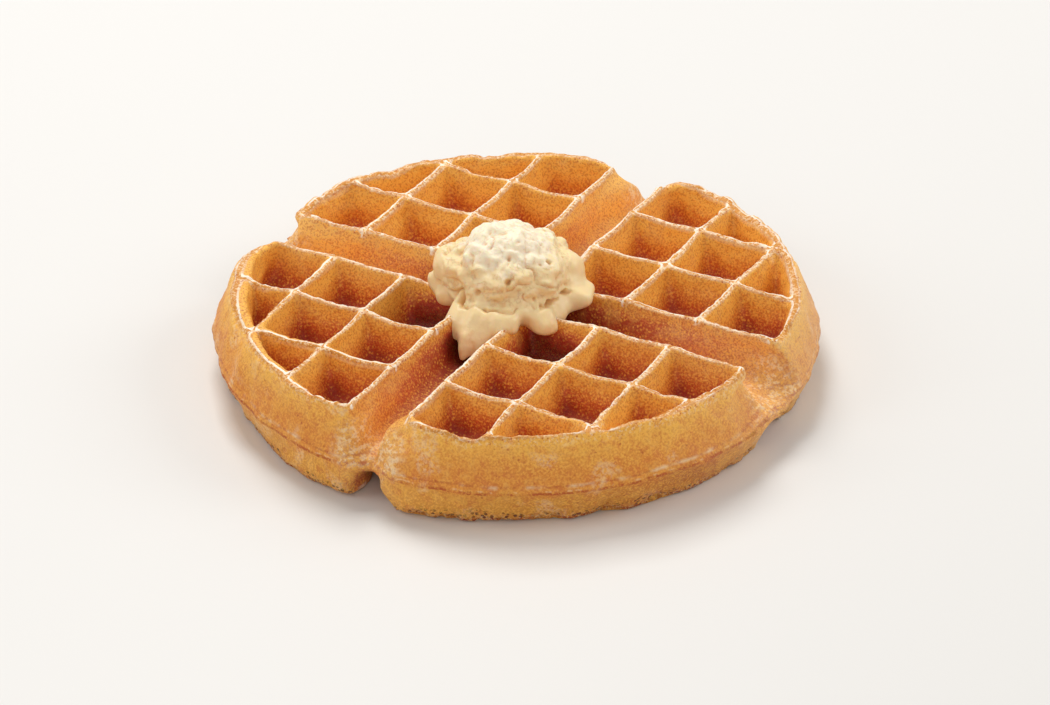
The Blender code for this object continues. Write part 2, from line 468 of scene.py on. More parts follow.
class Recipe:
    """One material's nodes, on coordinates in millimetres."""

    def __init__(self, name: str) -> None:
        """Starts an empty material of that name.

        Args:
            name: The material's name.
        """
        self.material = bpy.data.materials.new(name)
        self.material.use_nodes = True
        self.tree = self.material.node_tree
        self.tree.nodes.clear()
        self.place = self.scaled(self.node("ShaderNodeTexCoord").outputs["Object"], 1.0 / MM)

    def node(self, kind: str, settings: dict | None = None, inputs: dict | None = None) -> bpy.types.Node:
        """Adds a node, sets it up and feeds it.

        Args:
            kind: The node's type.
            settings: Its properties by name; "stops" holds a ramp's places and colours.
            inputs: What goes into its sockets by name or number, as constants, sockets or Values.

        Returns:
            The node.
        """
        node = self.tree.nodes.new(kind)
        for name, value in (settings or {}).items():
            if name == "stops":
                self._fill_ramp(node.color_ramp, value)
            else:
                setattr(node, name, value)
        for name, value in (inputs or {}).items():
            self.feed(node.inputs[name], value)
        return node

    @staticmethod
    def _fill_ramp(ramp: bpy.types.ColorRamp, stops: list[tuple[float, tuple]]) -> None:
        """Gives a ramp its stops, from low to high.

        Args:
            ramp: The ramp to fill.
            stops: The place and the colour of each stop.
        """
        while len(ramp.elements) < len(stops):
            ramp.elements.new(1.0)
        for element, (place, colour) in zip(ramp.elements, stops):
            element.position = place
            element.color = colour

    def feed(self, socket: bpy.types.NodeSocket, value: object) -> None:
        """Links a Value or a socket into a socket, or sets a constant on it.

        Args:
            socket: The socket to feed.
            value: A Value, a socket or a constant.
        """
        if isinstance(value, Value):
            value = value.socket
        if isinstance(value, bpy.types.NodeSocket):
            self.tree.links.new(value, socket)
        else:
            socket.default_value = value

    def scaled(self, vector: bpy.types.NodeSocket, scale: float) -> bpy.types.NodeSocket:
        """A vector socket times a number."""
        inputs = {0: vector, "Scale": scale}
        return self.node("ShaderNodeVectorMath", {"operation": "SCALE"}, inputs).outputs[0]

    def stretched(self, factors: tuple[float, float, float]) -> bpy.types.NodeSocket:
        """The place with each axis times its own factor."""
        settings = {"operation": "MULTIPLY"}
        return self.node("ShaderNodeVectorMath", settings, {0: self.place, 1: factors}).outputs[0]

    def coordinate(self, axis: str) -> Value:
        """One coordinate of the place, in millimetres."""
        node = self.node("ShaderNodeSeparateXYZ", None, {0: self.place})
        return Value(self, node.outputs[axis])

    def noted(self, name: str) -> Value:
        """A number that the mesh stores for each corner."""
        node = self.node("ShaderNodeAttribute", {"attribute_name": name})
        return Value(self, node.outputs["Fac"])

    def grain(self, size: float, detail: float = 2.0, seed: float = 0.0, place: object = None) -> Value:
        """Noise from 0 to 1 with lumps of about that size.

        Args:
            size: The distance between lumps, in millimetres.
            detail: How many finer layers are added.
            seed: A shift that makes two grains of one size differ.
            place: The vector socket to read, if not the plain place.

        Returns:
            The noise.
        """
        spot = self._shifted(place or self.place, seed)
        inputs = {"Vector": spot, "Scale": 1.0 / size, "Detail": detail, "Roughness": 0.6}
        return Value(self, self.node("ShaderNodeTexNoise", None, inputs).outputs["Fac"])

    def specks(self, size: float, seed: float, edge: tuple[float, float], lots: tuple[float, float]) -> Value:
        """Scattered round specks.

        Args:
            size: The distance between specks, in millimetres.
            seed: A shift that makes two scatters differ.
            edge: How far from its middle a speck begins and is whole, in sizes.
            lots: A speck draws a lot from 0 to 1, and is missing below the first and whole above the second.

        Returns:
            Numbers from 0 between the specks to 1 in their middles.
        """
        inputs = {"Vector": self._shifted(self.place, seed), "Scale": 1.0 / size}
        node = self.node("ShaderNodeTexVoronoi", {"feature": "F1"}, inputs)
        lot = self.node("ShaderNodeSeparateColor", None, {0: node.outputs["Color"]}).outputs[0]
        return Value(self, node.outputs["Distance"]).fade(*edge) * Value(self, lot).fade(*lots)

    def _shifted(self, place: object, seed: float) -> bpy.types.NodeSocket:
        """A place moved by a seed along every axis."""
        settings = {"operation": "ADD"}
        return self.node("ShaderNodeVectorMath", settings, {0: place, 1: (seed, seed, seed)}).outputs[0]

    def ramp(self, value: Value, stops: list[tuple[float, tuple]]) -> bpy.types.NodeSocket:
        """The colour that a row of stops gives for a number."""
        return self.node("ShaderNodeValToRGB", {"stops": stops}, {0: value}).outputs["Color"]

    def mix(self, share: Value | float, under: object, over: object) -> bpy.types.NodeSocket:
        """Two colours mixed: under at share 0 and over at share 1."""
        inputs = {0: share, 6: under, 7: over}
        return self.node("ShaderNodeMix", {"data_type": "RGBA"}, inputs).outputs[2]

    def layered(self, colour: object, layers: list[tuple[Value, object]]) -> bpy.types.NodeSocket:
        """A colour with others laid over it in turn.

        Args:
            colour: The lowest colour.
            layers: The share and the colour of each layer, from the lowest up.

        Returns:
            The colour that all of them make.
        """
        for share, over in layers:
            colour = self.mix(share, colour, over)
        return colour

    def bump(self, height: Value, depth: float, under: object = None) -> bpy.types.NodeSocket:
        """A normal bent by a height from 0 to 1.

        Args:
            height: The height, as a share of the depth.
            depth: What a height of 1 means, in millimetres.
            under: Another bump's normal to add to.

        Returns:
            The normal socket.
        """
        inputs = {"Height": height, "Distance": depth * MM, "Strength": 1.0}
        if under is not None:
            inputs["Normal"] = under
        return self.node("ShaderNodeBump", None, inputs).outputs[0]

    def surface(self, inputs: dict) -> bpy.types.Material:
        """Ends the tree in a Principled shader with those inputs.

        Args:
            inputs: The shader's inputs by name.

        Returns:
            The finished material.
        """
        shader = self.node("ShaderNodeBsdfPrincipled", None, inputs)
        self.node("ShaderNodeOutputMaterial", None, {"Surface": shader.outputs[0]})
        return self.material


@dataclass(frozen=True)
class CrustFinish:
    """Baked batter: pale flecked crests, golden walls, red-brown pockets and a porous lower edge, with
    painted highlights on some edges and painted shade in the pockets.

    Attributes:
        name: The material's name.
        thickness: The waffle's thickness, over which its outer wall grows more golden upwards.
        frost_and_highlight: The line along a crest's edge.
        cream: The flakes and every paler stretch, including painted highlights on sharp corners and the
            seam's ridge, and painted light on the outer wall away from the front.
        blush: The darker crests.
        crumb: The paler crests.
        tan: The blotches on walls.
        gold: The least baked walls.
        amber: Walls baked a little more, and the middle of the outer wall.
        rust: Walls baked more again, and the outer wall's darker mottling.
        cocoa: Deep walls, and the foot of the outer wall.
        umber: The darkest pocket floors, and the butter's painted shadow.
        honey: The specks that catch the light.
        ember: The seam's lines, and small dark grains and spots.
        soot: The pores at the foot of the outer wall.
        straw: The outer wall under the seam, and the grooves' lips.
    """

    name: str = "baked_batter_crust"
    thickness: float = 27.0
    frost_and_highlight: tuple = paint(255, 246, 229)
    cream: tuple = paint(250, 222, 178)
    blush: tuple = paint(202, 130, 44)
    crumb: tuple = paint(222, 154, 70)
    tan: tuple = paint(234, 176, 94)
    gold: tuple = paint(246, 184, 80)
    amber: tuple = paint(226, 147, 60)
    rust: tuple = paint(204, 103, 55)
    cocoa: tuple = paint(156, 45, 32)
    umber: tuple = paint(102, 15, 11)
    honey: tuple = paint(250, 190, 84)
    ember: tuple = paint(176, 72, 30)
    soot: tuple = paint(84, 34, 18)
    straw: tuple = paint(224, 158, 66)

    def material(self) -> bpy.types.Material:
        """Builds the crust's material.

        Returns:
            The finished material.
        """
        recipe = Recipe(self.name)
        depth = recipe.noted("depth")
        side = recipe.noted("outer").most(recipe.noted("lip"))
        fine = recipe.grain(0.62, 1.0, 5.0)
        coarse = recipe.grain(1.7, 3.0, 9.0)
        spill = recipe.grain(0.9, 2.0, 51.0).fade(0.54, 0.6) * depth.fade(3.4, 0.6)
        # Bright honey specks, partly painted glints, most where the crust is less brown and on the outer
        # wall.
        pale = 0.12 + 0.45 * recipe.noted("brown").fade(1.0, 0.4).most(0.5 * side)
        layers = [
            (side, self._sides(recipe)),
            # Pallor in cream: partly painted light on the outer wall away from the front.
            (0.22 * recipe.noted("pallor"), self.cream),
            ((0.45 + 0.2 * side) * spill, recipe.mix(side, self.tan, self.cream)),
            ((0.42 - 0.2 * side) * fine.fade(0.48, 0.4), self.ember),
            (pale * fine.fade(0.54, 0.61), self.honey),
        ]
        colour = recipe.layered(self._walls(recipe, depth), layers)
        inputs = {
            "Base Color": self._crests(recipe, depth, colour),
            "Roughness": 0.38 + 0.3 * coarse,
            "Normal": recipe.bump(coarse, 0.3, recipe.bump(fine, 0.1)),
            "Specular IOR Level": 0.32,
            "Subsurface Weight": 0.06,
            "Subsurface Radius": (1.0, 0.45, 0.2),
            "Subsurface Scale": 1.0 * MM,
        }
        return recipe.surface(inputs)

    def _walls(self, recipe: Recipe, depth: Value) -> bpy.types.NodeSocket:
        """The pockets' and grooves' colours, by how brown a place is, from baking and from painted shade.

        Args:
            recipe: The recipe to add to.
            depth: How far each place lies below the crests.

        Returns:
            The colour.
        """
        wander = recipe.grain(6.0, 2.0, 3.0) - 0.5
        mottle = recipe.grain(1.2, 2.0, 7.0) - 0.5
        reach = recipe.noted("brown") + 0.42 * wander + 0.3 * mottle
        stops = [
            (0.0, self.gold),
            (0.22, self.amber),
            (0.48, self.rust),
            (0.76, self.cocoa),
            (1.0, self.umber),
        ]
        blotch = recipe.grain(8.0, 1.0, 21.0).fade(0.55, 0.68) * depth.fade(11.0, 4.0)
        field = recipe.grain(9.0, 1.0, 61.0).fade(0.38, 0.55)
        speck = recipe.specks(0.95, 4.0, (0.46, 0.28), (0.3, 0.45)) * depth.fade(0.8, 2.5)
        speck = speck * (0.3 + 0.7 * field) * reach.fade(1.15, 0.75)
        layers = [(0.55 * blotch, self.tan), (0.8 * speck, self.honey)]
        return recipe.layered(recipe.ramp(0.77 * reach, stops), layers)

    def _sides(self, recipe: Recipe) -> bpy.types.NodeSocket:
        """The outer wall's colours, by height: mottled, with the seam's lines, and porous at its foot.

        Args:
            recipe: The recipe to add to.

        Returns:
            The colour.
        """
        height = recipe.coordinate("Z")
        wander = recipe.grain(7.0, 3.0, 13.0) - 0.5
        stops = [
            (0.0, self.straw),
            (0.36, self.straw),
            (0.48, self.amber),
            (0.66, self.amber),
            (0.92, self.gold),
        ]
        mottle = recipe.grain(3.2, 3.0, 17.0)
        patch = recipe.grain(11.0, 1.0, 31.0).fade(0.57, 0.68) * recipe.grain(1.2, 3.0, 35.0).fade(0.38, 0.6)
        lip = recipe.noted("lip")
        spill = recipe.grain(1.6, 3.0, 53.0).fade(0.48, 0.58) * lip
        seam = recipe.noted("seam")
        line = seam.size().fade(0.7, 0.2) + 0.6 * (seam - 2.0).size().fade(0.5, 0.1)
        line = line.least(1.0) * (0.25 + 0.75 * recipe.grain(3.5, 2.0, 43.0).fade(0.38, 0.55))
        # The seam's ridge is lighter: partly pale crust, partly a painted highlight.
        ridge = (seam - 0.7).size().fade(0.35, 0.1) * recipe.grain(2.2, 2.0, 47.0).fade(0.54, 0.64)
        spot = recipe.specks(1.6, 28.0, (0.3, 0.16), (0.6, 0.75))
        spot = spot * recipe.grain(8.0, 1.0, 71.0).fade(0.42, 0.6)
        toast = recipe.noted("toast") * (0.35 + 0.65 * recipe.grain(2.0, 3.0, 73.0).fade(0.4, 0.6))
        pore = recipe.specks(1.3, 8.0, (0.5, 0.34), (0.2, 0.35)) * (height + 7.0 * wander).fade(5.0, 2.5)
        foot = (height + 2.0 * (mottle - 0.5)).fade(2.4, 0.9)
        layers = [
            (0.35 * mottle.fade(0.5, 0.36), self.rust),
            (0.35 * mottle.fade(0.52, 0.66), self.tan),
            (0.42 * patch, self.cream),
            (0.6 * lip, self.straw),
            (0.85 * spill, self.cream),
            (0.8 * line, self.ember),
            (0.4 * ridge, self.cream),
            (0.6 * spot, self.ember),
            (0.6 * toast, self.ember),
            (0.95 * pore, self.soot),
            (0.85 * foot, self.cocoa),
        ]
        return recipe.layered(recipe.ramp((height + 9.0 * wander) / self.thickness, stops), layers)

    def _crests(self, recipe: Recipe, depth: Value, colour: object) -> bpy.types.NodeSocket:
        """Adds the frosted tops of ribs and rim, palest in a thin broken line along each edge, partly a
        painted highlight.

        Args:
            recipe: The recipe to add to.
            depth: How far each place lies below the crests.
            colour: The colour under the crests' own.

        Returns:
            The colour.
        """
        crest = recipe.noted("crest")
        bare = recipe.noted("bare")
        rough = recipe.grain(0.8, 3.0, 11.0) - 0.5
        near = (depth + 1.2 * rough).fade(1.2, 0.5) * (crest + 1.4 * rough).fade(-0.1, 0.35)
        tone = recipe.mix(recipe.grain(4.0, 3.0, 23.0).fade(0.4, 0.6), self.crumb, self.blush)
        dark = 0.3 * (bare - 0.4) * recipe.grain(1.5, 3.0, 61.0).fade(0.44, 0.58) * near
        fleck = (recipe.grain(0.9, 2.0, 19.0) - 0.02 * bare).fade(0.5, 0.56)
        broken = recipe.grain(3.2, 3.0, 41.0).fade(0.36, 0.52)
        # The pale line along each crest's edge is partly frosting and partly a painted highlight on the edges
        # that face the key light.
        line = (crest - 0.45 + 0.25 * rough).size().fade(0.42, 0.3) * depth.fade(2.2, 1.4)
        line = line * (0.62 + 0.38 * broken) * recipe.noted("far") * (1.0 - recipe.noted("outer"))
        layers = [
            (0.8 * near, recipe.mix(bare, tone, self.blush)),
            (dark, self.rust),
            ((0.85 - 0.45 * bare) * fleck * near, self.cream),
            (line, self.frost_and_highlight),
            # Sharp corners of the upper outer wall are lighter: partly pale crust, partly a painted
            # highlight.
            (0.75 * recipe.noted("edge") * (0.3 + 0.7 * broken), self.cream),
            (0.7 * recipe.specks(1.1, 15.0, (0.36, 0.16), (0.45, 0.65)) * depth.fade(1.6, 0.6), self.ember),
        ]
        return recipe.layered(colour, layers)


@dataclass(frozen=True)
class ButterFinish:
    """Whipped butter: matt and crumbly on top, smooth and glossy where it has melted.

    Attributes:
        name: The material's name.
        cream: The plain butter.
        milk_and_highlight: The palest clouds, mostly on top, where they are a painted highlight.
        custard_and_shade: The hollows, crinkles and runs; in the hollows, the crack and the crinkles it is
            painted shade.
        melted: The melted skirt.
    """

    name: str = "whipped_butter_cream"
    cream: tuple = paint(251, 228, 178)
    milk_and_highlight: tuple = paint(255, 240, 212)
    custard_and_shade: tuple = paint(218, 156, 80)
    melted: tuple = paint(252, 227, 176)

    def material(self) -> bpy.types.Material:
        """Builds the butter's material.

        Returns:
            The finished material.
        """
        recipe = Recipe(self.name)
        height = recipe.coordinate("Z")
        melt = recipe.noted("melt")
        low = height.fade(42.0, 31.0)
        # Paler towards the top and a little custard below it: painted light from above.
        top = height.fade(37.0, 45.0)
        cloud_and_top_light = recipe.grain(4.5, 3.0, 2.0) - 0.25 + 0.5 * top
        crinkle = (recipe.grain(4.4, 4.0, 44.0) - 0.5).size().fade(0.03, 0.004)
        crinkle = crinkle * recipe.grain(3.0, 2.0, 45.0).fade(0.42, 0.56)
        crinkle = crinkle * (1.0 - 0.6 * melt) * (1.0 - 0.35 * top)
        runs = recipe.grain(3.0, 3.0, 33.0, recipe.stretched((1.0, 1.0, 0.22))).fade(0.5, 0.64)
        stain_and_shade = 0.08 * (1.0 - top) + 0.3 * runs * height.fade(30.0, 22.0)
        # Custard in the hollows, the crease's crack and the crinkles is painted shade in the creases; in the
        # runs low down it is the melt's own colour.
        stain_and_shade = stain_and_shade.most(0.85 * recipe.noted("hollow")).most(0.3 * crinkle)
        layers = [
            (cloud_and_top_light.fade(0.3, 0.6), self.milk_and_highlight),
            (0.3 * low + 0.35 * melt, self.melted),
            (stain_and_shade, self.custard_and_shade),
        ]
        dry = 1.0 - 0.65 * melt
        fine = recipe.bump((recipe.grain(0.7, 3.0, 6.0) - 0.9 * crinkle) * dry, 0.16)
        inputs = {
            "Base Color": recipe.layered(self.cream, layers),
            "Roughness": 0.5 - 0.2 * melt,
            "Normal": recipe.bump(recipe.grain(2.0, 2.0, 12.0) * dry, 0.25, fine),
            "Specular IOR Level": 0.4,
            "Subsurface Weight": 0.3,
            "Subsurface Radius": (1.0, 0.6, 0.25),
            "Subsurface Scale": 2.5 * MM,
        }
        return recipe.surface(inputs)


@dataclass(frozen=True)
class FloorFinish:
    """A plain pale table top.

    Attributes:
        name: The material's name.
        colour: The floor's colour.
    """

    name: str = "pale_floor"
    colour: tuple = paint(228, 227, 225)

    def material(self) -> bpy.types.Material:
        """Builds the floor's material.

        Returns:
            The finished material.
        """
        recipe = Recipe(self.name)
        shade = recipe.grain(260.0, 1.0)
        colour = recipe.mix(0.04 * shade, self.colour, paint(255, 255, 255))
        return recipe.surface({"Base Color": colour, "Roughness": 0.45, "Specular IOR Level": 0.3})


# ---------------------------------------------------------------------------------------------------
# The waffle
# ---------------------------------------------------------------------------------------------------


@dataclass(frozen=True)
class Corner:
    """How one quarter's corner stands where a groove opens at the rim.

    Attributes:
        turn: The groove's way out from the middle, in degrees from +X.
        side: 1 for the corner on the left going out, -1 for the one on the right.
        pinch: How far its foot leans into the groove, or away from it below 0.
        blunt: How far its crest is drawn back from the rim.
        ledge: How far the foot of its outer wall is drawn back from the seam.
    """

    turn: float
    side: int
    pinch: float
    blunt: float
    ledge: float = 0.0

    def shift(self, points: np.ndarray, depth: np.ndarray) -> np.ndarray:
        """Where the corner's points go.

        Args:
            points: Points from the grid's middle.
            depth: Their depths below the crests.

        Returns:
            One row of three lengths for each point, to add to it.
        """
        angle = math.radians(self.turn)
        out = np.array([math.cos(angle), math.sin(angle), 0.0])
        aside_way = np.array([-math.sin(angle), math.cos(angle), 0.0]) * self.side
        along = points @ out
        aside = points @ aside_way
        own = ease(-1.0, 3.0, aside)
        lean = self.pinch * ease(62.0, 80.0, along) * ease(0.3, 6.0, depth) * bump_at(aside, 7.0, 5.5)
        back = self.blunt * ease(71.0, 82.0, along) * ease(10.0, 1.0, depth) * bump_at(aside, 8.5, 6.5)
        foot = ease(1.0, 6.0, depth) * ease(15.5, 13.0, depth)
        back += self.ledge * ease(79.0, 85.0, along) * foot * bump_at(aside, 11.0, 8.0)
        return -np.outer(lean * own, aside_way) - np.outer(back * own, out)


@dataclass(frozen=True)
class Skin:
    """The crust's corners before they are worked, and what is measured at each.

    Attributes:
        points: The corners, from the grid's middle at the level of the rib tops.
        normals: Their outward directions.
        radius: Their distances from the middle.
        turn: Their turns from +X, in degrees.
        depth: How far each lies below the crests of its own face.
        beside: How far each is from the middle line of the nearer groove.
        seam: Their heights above the wavering line where the two bakes meet.
        outer: 1 on the outer wall and 0 inside it.
    """

    points: np.ndarray
    normals: np.ndarray
    radius: np.ndarray
    turn: np.ndarray
    depth: np.ndarray
    beside: np.ndarray
    seam: np.ndarray
    outer: np.ndarray

    @classmethod
    def of(cls, mesh: bpy.types.Mesh, grid: Lattice) -> "Skin":
        """Measures a mesh's corners.

        Args:
            mesh: The mesh, in the part's frame.
            grid: The lattice to measure from.

        Returns:
            The measured corners.
        """
        points = grid.local(Piece.points(mesh))
        normals = Piece.normals(mesh)
        radius, turn = polar(points)
        outwards = (normals[:, :2] * points[:, :2]).sum(axis=1) / np.maximum(radius, 1.0)
        outer = ease(0.25, 0.6, outwards) * ease(77.0, 80.0, radius)
        seam = grid.height(points) - grid.seam + 0.7 * Grain(16.0, 5.5).at(points)
        return cls(points, normals, radius, turn, grid.depth(points), grid.beside(points), seam, outer)


@dataclass
class WaffleCrust:
    """The whole baked body: two gridded faces, four quarters and the seam round the edge.

    Attributes:
        grid: Where the ribs run.
        finish: What the crust looks like.
        voxel: The size of the fused skin's faces.
        sag: How far a rib hangs between its crossings, across and along.
        dip: How far the rim's crest dips in places.
        wander: How far ribs stray sideways.
        slim: How far each side of a rib's top is drawn in.
        swell: How far walls bulge.
        nick: How deep crests are nicked.
        seam_ridge: How far the seam stands out.
        grit: How far the fine grit of the whole skin stands out.
        crumbs: How far the crests' crumbs stand out.
        rounding: How often walls, the feet of pockets and the grooves' floors are evened out.
        flaring: How often the groove ends are, before and after their corners are set.
        mouth: The radius where the pockets end, and the one where the rim's crest does.
        corners: The quarters' corners beside the grooves.
        rims: Each broader or thinner stretch of rim: its turn, half its spread and how far it reaches in.
        lip_drop: How far the grooves' floors drop at the rim.
        lip_notch: The turn, the depth and the half width of the notch in the seam at the front groove.
        bites: Where the lower edge is bitten, as turns.
        bite: How deep a bite is, and half its width in degrees.
        wear: How deep the lower edge's pits, its raggedness and its worn stretches are.
        toasted: The turn of the browner stretch of edge under the seam, and half its spread.
        heel: The turn of the stretch of edge that bulges under the seam, half its spread and how far.
        feet: Each foot beside the front groove: its side, and how far it leans in at the table and above.
        front: The direction towards the front of the part, where the rim's inner edge is palest, partly as a
            painted highlight.
        most_triangles: The finished mesh's budget.
    """

    grid: Lattice
    finish: CrustFinish
    voxel: float = 0.55
    sag: tuple[float, float] = (0.9, 0.5)
    dip: float = 1.5
    wander: float = 0.7
    slim: float = 0.35
    swell: float = 0.45
    nick: float = 0.5
    seam_ridge: float = 0.45
    grit: float = 0.16
    crumbs: float = 0.2
    rounding: tuple[int, int, int] = (2, 16, 60)
    flaring: tuple[int, int] = (50, 12)
    mouth: tuple[float, float] = (81.4, 84.5)
    corners: tuple[Corner, ...] = (
        Corner(0.0, 1, -3.0, 1.5),
        Corner(0.0, -1, -1.0, 2.0, 4.5),
        Corner(90.0, 1, 3.5, 3.5),
        Corner(90.0, -1, 1.5, 3.5),
        Corner(180.0, 1, 2.0, 4.0),
        Corner(180.0, -1, 2.0, 2.0, 4.0),
        Corner(270.0, 1, 4.2, 4.5),
        Corner(270.0, -1, 0.5, 0.5),
    )
    rims: tuple[tuple[float, float, float], ...] = (
        (202.0, 26.0, 2.4),
        (250.0, 14.0, -1.2),
        (300.0, 26.0, -1.7),
    )
    lip_drop: float = 1.8
    lip_notch: tuple[float, float, float] = (270.6, 3.6, 2.6)
    bites: tuple[float, ...] = (281.3, 306.7, 326.0, 344.6, 350.6)
    bite: tuple[float, float] = (1.8, 1.1)
    wear: tuple[float, float, float] = (0.9, 0.35, 1.2)
    toasted: tuple[float, float] = (333.0, 16.0)
    heel: tuple[float, float, float] = (268.0, 23.0, 3.4)
    feet: tuple[tuple[int, float, float], ...] = ((1, 0.5, 3.8), (-1, 3.6, 3.2))
    front: tuple[float, float, float] = (0.49, -0.87, 0.0)
    most_triangles: int = 195_000

    def build(self) -> bpy.types.Object:
        """Makes the dressed crust.

        Returns:
            The finished piece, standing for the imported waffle.
        """
        piece = self._copy_of_solid("waffle")
        Piece.remeshed(piece, self.voxel)
        log.info("crust remeshed: %d corners", len(piece.data.vertices))
        self._soften(piece.data)
        self._shape(piece.data)
        self._thin(piece)
        Piece.finished(piece, self.finish.material())
        return piece

    def _copy_of_solid(self, node: str) -> bpy.types.Object:
        """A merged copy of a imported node's mesh, in millimetres, under a new name.

        Args:
            node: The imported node's name.

        Returns:
            The copy, in the scene.
        """
        bm = bmesh.new()
        bm.from_mesh(frame["nodes"][node].data)
        bmesh.ops.scale(bm, vec=Vector((1.0, 1.0, 1.0)) / MM, verts=bm.verts)
        bmesh.ops.remove_doubles(bm, verts=bm.verts, dist=0.001)
        bmesh.ops.recalc_face_normals(bm, faces=bm.faces)
        return Piece.link(bm, "waffle_crust")

    # How the even skin gets its rounded walls and its corners.

    def _soften(self, mesh: bpy.types.Mesh) -> None:
        """Rounds the walls a little, the foot of each pocket more and the grooves most.

        Args:
            mesh: The crust's mesh, in the part's frame.
        """
        points = self.grid.local(Piece.points(mesh))
        radius, _ = polar(points)
        depth = self.grid.depth(points)
        beside = self.grid.beside(points)
        first, edge = self.grid.first, self.grid.edge
        inside = radius < edge - 7.0
        walls, feet, floors = self.rounding
        Piece.calmed(mesh, depth > 0.9, walls)
        Piece.calmed(mesh, (depth > 6.5) & inside, feet)
        Piece.calmed(mesh, (beside < first) & (depth > 4.0) & inside, floors)
        flare = (beside < first + 7.0) & (depth > 2.5) & (radius > edge - 20.0)
        brow = (beside < first + 9.0) & (depth <= 4.0) & (radius > edge - 12.0)
        before, after = self.flaring
        Piece.calmed(mesh, flare, before)
        self._set_corners(mesh)
        Piece.calmed(mesh, flare, after)
        Piece.calmed(mesh, brow, after)

    def _set_corners(self, mesh: bpy.types.Mesh) -> None:
        """Sets the corners at the groove ends, the grooves' lips, the rim's width and the lower edge.

        Args:
            mesh: The crust's mesh, in the part's frame.
        """
        points = self.grid.local(Piece.points(mesh))
        depth = self.grid.depth(points)
        top = self.grid.height(points) > self.grid.seam - 0.5
        shift = sum(corner.shift(points, depth) for corner in self.corners)
        points += shift * top[:, None]
        radius, turn = polar(points)
        lip = ease(76.0, 88.0, radius) * ease(9.0, 12.0, depth) * top
        lip *= ease(self.grid.first + 3.0, self.grid.first - 3.0, self.grid.beside(points))
        points[:, 2] -= self.lip_drop * lip
        height = self.grid.height(points)
        inwards = np.stack([points[:, 0], points[:, 1], radius * 0.0], axis=1) / radius[:, None]
        drawn_in = self._notched(radius, turn) - self._heeled(radius, turn, height)
        drawn_in += self._broadened(radius, turn, depth) * top
        points[:, 0] -= self._leaned(points, height)
        Piece.move_to(mesh, self.grid.placed(points - inwards * drawn_in[:, None]))

    def _notched(self, radius: np.ndarray, turn: np.ndarray) -> np.ndarray:
        """How far the seam is drawn in at the notch beside the front groove."""
        at, deep, half = self.lip_notch
        return deep * bump_at(turn_gap(turn, at), 0.0, half) * ease(82.0, 87.0, radius)

    def _broadened(self, radius: np.ndarray, turn: np.ndarray, depth: np.ndarray) -> np.ndarray:
        """How far the rim's inner wall is drawn in, where the rim is broader or thinner.

        Args:
            radius: The corners' distances from the middle.
            turn: Their turns from +X, in degrees.
            depth: How far they lie below the crests.

        Returns:
            The lengths, below 0 where the rim is thinner.
        """
        mouth, brim = self.mouth
        reach = sum(reach * bump_at(turn_gap(turn, at), 0.0, spread) for at, spread, reach in self.rims)
        return reach * ease(70.0, mouth, radius) * ease(brim, mouth + 0.6, radius) * ease(13.0, 6.0, depth)

    def _heeled(self, radius: np.ndarray, turn: np.ndarray, height: np.ndarray) -> np.ndarray:
        """How far the edge bulges under the seam.

        Args:
            radius: The corners' distances from the middle.
            turn: Their turns from +X, in degrees.
            height: Their heights above the table.

        Returns:
            The lengths.
        """
        at, spread, reach = self.heel
        stretch = np.exp(-((turn_gap(turn, at) / spread) ** 4))
        return reach * stretch * ease(78.0, 83.0, radius) * ease(self.grid.seam, 2.5, height)

    def _leaned(self, points: np.ndarray, height: np.ndarray) -> np.ndarray:
        """How far the feet beside the front groove move towards -X.

        Args:
            points: The corners.
            height: Their heights above the table.

        Returns:
            The lengths, below 0 towards +X.
        """
        shift = np.zeros(len(points))
        for side, low, middle in self.feet:
            aside = points[:, 0] * side
            lean = low * ease(5.0, 1.0, height) + middle * bump_at(height, 6.5, 3.5)
            lean *= ease(68.0, 80.0, -points[:, 1]) * ease(0.0, 3.0, aside) * bump_at(aside, 9.5, 6.0)
            shift += side * lean
        return shift * (height < self.grid.seam)

    # How the corners move, each from where the skin had it.

    def _shape(self, mesh: bpy.types.Mesh) -> None:
        """Works the even skin into a baked one, and notes what the finish reads.

        Args:
            mesh: The crust's mesh, in the part's frame.
        """
        skin = Skin.of(mesh, self.grid)
        aside = self._wandered(skin) + self._slimmed(skin)
        push = self._swollen(skin) + self._nicked(skin)
        ridge = bump_at(skin.seam, 0.0, 0.6) + 0.6 * bump_at(skin.seam, 2.0, 0.5)
        push += self.seam_ridge * ridge * (0.6 + 0.8 * Grain(5.0, 9.1).at(skin.points)) * skin.outer
        moved = skin.points + aside + skin.normals * push[:, None]
        moved[:, 2] += self._sagged(skin)
        Piece.move_to(mesh, self.grid.placed(self._worn(moved, skin)))
        for name, values in self._notes(mesh, skin).items():
            Piece.note(mesh, name, values)

    def _sagged(self, skin: Skin) -> np.ndarray:
        """The lift, mostly below 0, of rib tops between their crossings and of the rim's crest.

        Args:
            skin: The corners before they were worked.

        Returns:
            One length for each corner.
        """
        near_top = ease(9.0, 0.0, skin.depth) * (skin.points[:, 2] > -15.0)
        dip = self.dip * ease(75.0, 79.0, skin.radius) * ease(-0.1, 0.6, Grain(12.0, 7.2).at(skin.points))
        drop = np.zeros(len(skin.points))
        for axis in Axis:
            run, cross = skin.points[:, axis.value], skin.points[:, 1 - axis.value]
            hang = np.sin(math.pi * self.grid.span(run)) ** 2
            close = bump_at(self.grid.off_rib(cross), 0.0, 4.5)
            bay = np.stack([self.grid.bay(run), np.round(cross / self.grid.pitch), run * 0.0], axis=1)
            lot = 1.0 + 0.9 * Grain(1.7, 3.3 + 5.0 * axis.value).at(bay)
            drop = np.maximum(drop, self.sag[axis.value] * hang * close * lot)
        return -near_top * (drop * ease(81.0, 74.0, skin.radius) + dip)

